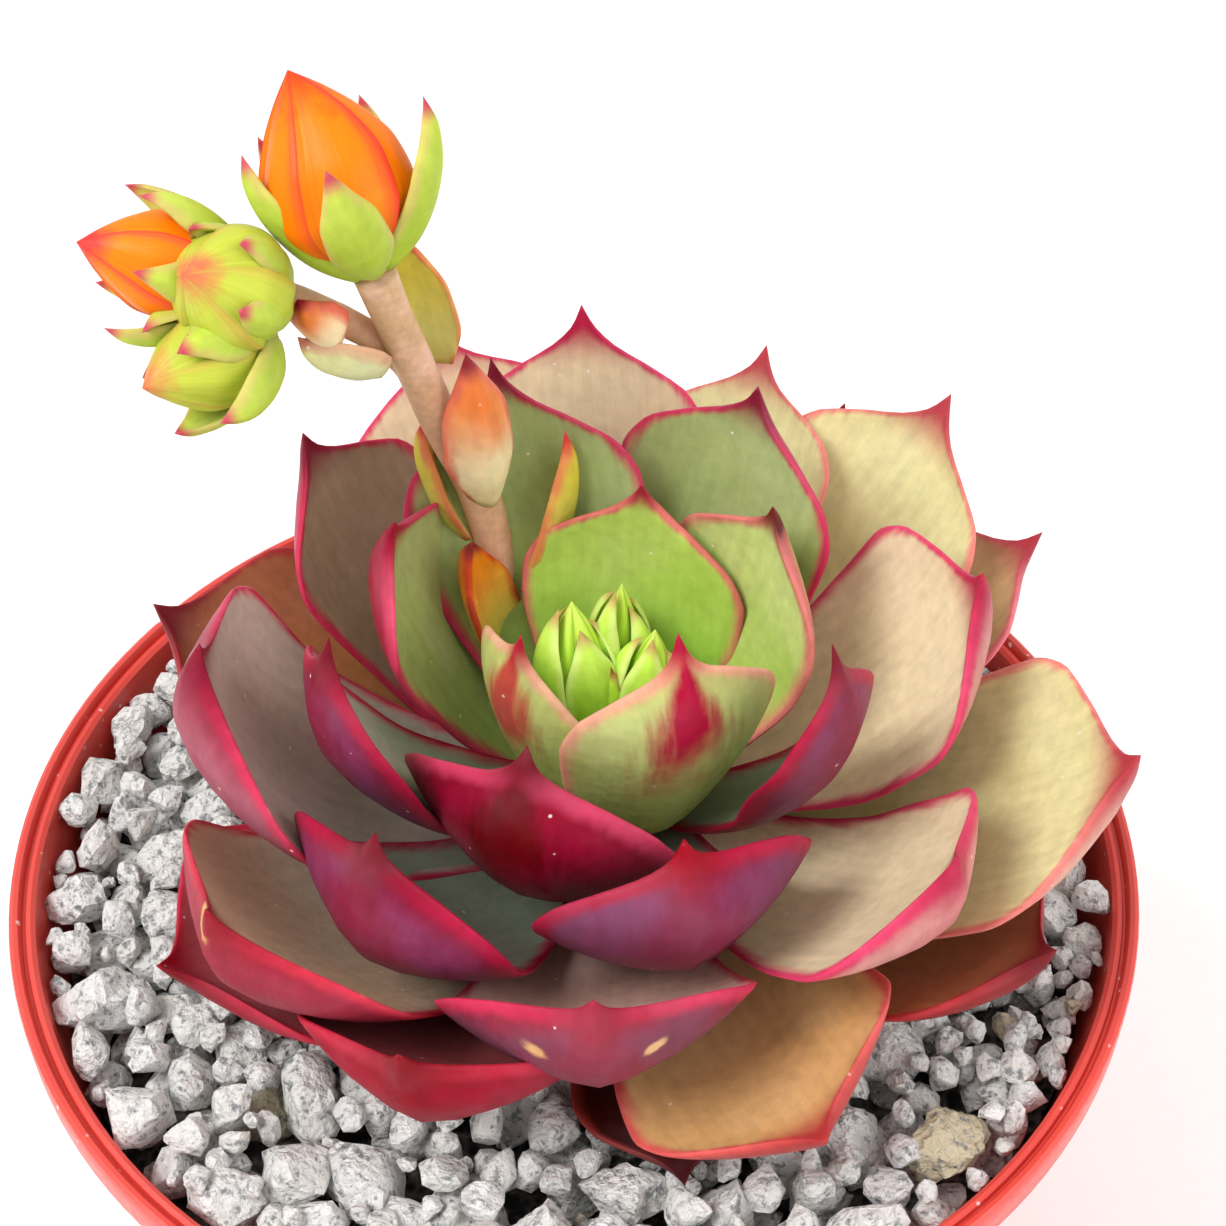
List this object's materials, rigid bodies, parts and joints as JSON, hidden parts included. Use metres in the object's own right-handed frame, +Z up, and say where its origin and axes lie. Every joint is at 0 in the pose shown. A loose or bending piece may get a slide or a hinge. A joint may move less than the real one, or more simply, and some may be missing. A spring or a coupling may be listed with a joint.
{
  "type": "potted succulent",
  "caption": "Rosette succulent with cusped fleshy leaves and a side stalk of flower buds, in a round tapered nursery pot topped with pumice gravel.",
  "frame": {"origin": "centre of the flat face under the pot, on the surface it stands on", "axes": "+Z up; the rosette leans to the viewer at -Y; the flower stalk rises to the back left at -X, +Y"},
  "size_m": [0.102, 0.102, 0.1568],
  "materials": {
    "pot_plastic": "coral red injection-moulded polypropylene, satin gloss",
    "potting_soil": "dark peaty potting mix",
    "pumice": "rough pale grey pumice gravel",
    "stem_bark": "short brown succulent stem",
    "leaf_flesh": "waxy grey-green to crimson succulent leaf",
    "stalk_flesh": "smooth pinkish tan flower stalk",
    "bract_flesh": "waxy cream to orange-red bract",
    "petal": "satin orange petal with pink edges",
    "sepal": "waxy lime green sepal with pink tip",
    "young_growth": "bright lime green young growth"
  },
  "bodies": {
    "root": {"pot": "pot_plastic", "soil": "potting_soil", "pumice": "pumice", "stem": "stem_bark", "leaf_01": "leaf_flesh", "leaf_02": "leaf_flesh", "leaf_03": "leaf_flesh", "leaf_04": "leaf_flesh", "leaf_05": "leaf_flesh", "leaf_06": "leaf_flesh", "leaf_07": "leaf_flesh", "leaf_08": "leaf_flesh", "leaf_09": "leaf_flesh", "leaf_10": "leaf_flesh", "leaf_11": "leaf_flesh", "leaf_12": "leaf_flesh", "leaf_13": "leaf_flesh", "leaf_14": "leaf_flesh", "leaf_15": "leaf_flesh", "leaf_16": "leaf_flesh", "leaf_17": "leaf_flesh", "leaf_18": "leaf_flesh", "leaf_19": "leaf_flesh", "leaf_20": "leaf_flesh", "leaf_21": "leaf_flesh", "leaf_22": "leaf_flesh", "leaf_23": "leaf_flesh", "leaf_24": "leaf_flesh", "leaf_25": "leaf_flesh", "leaf_26": "leaf_flesh", "leaf_27": "leaf_flesh", "leaf_28": "leaf_flesh", "leaf_29": "leaf_flesh", "leaf_30": "leaf_flesh", "leaf_31": "leaf_flesh", "flower_stalk": "stalk_flesh", "bract_1": "bract_flesh", "bract_2": "bract_flesh", "bract_3": "bract_flesh", "bract_4": "bract_flesh", "bract_5": "bract_flesh", "bract_6": "bract_flesh", "bract_7": "bract_flesh", "bud_1_petals": "petal", "bud_1_calyx": "sepal", "bud_2_petals": "petal", "bud_2_calyx": "sepal", "bud_3_petals": "petal", "bud_3_calyx": "sepal", "bud_4_petals": "petal", "bud_4_calyx": "sepal", "young_stalk": "young_growth", "young_bud_1": "young_growth", "young_bud_2": "young_growth", "young_bud_3": "young_growth", "young_bract": "young_growth"}
  },
  "joints": []
}
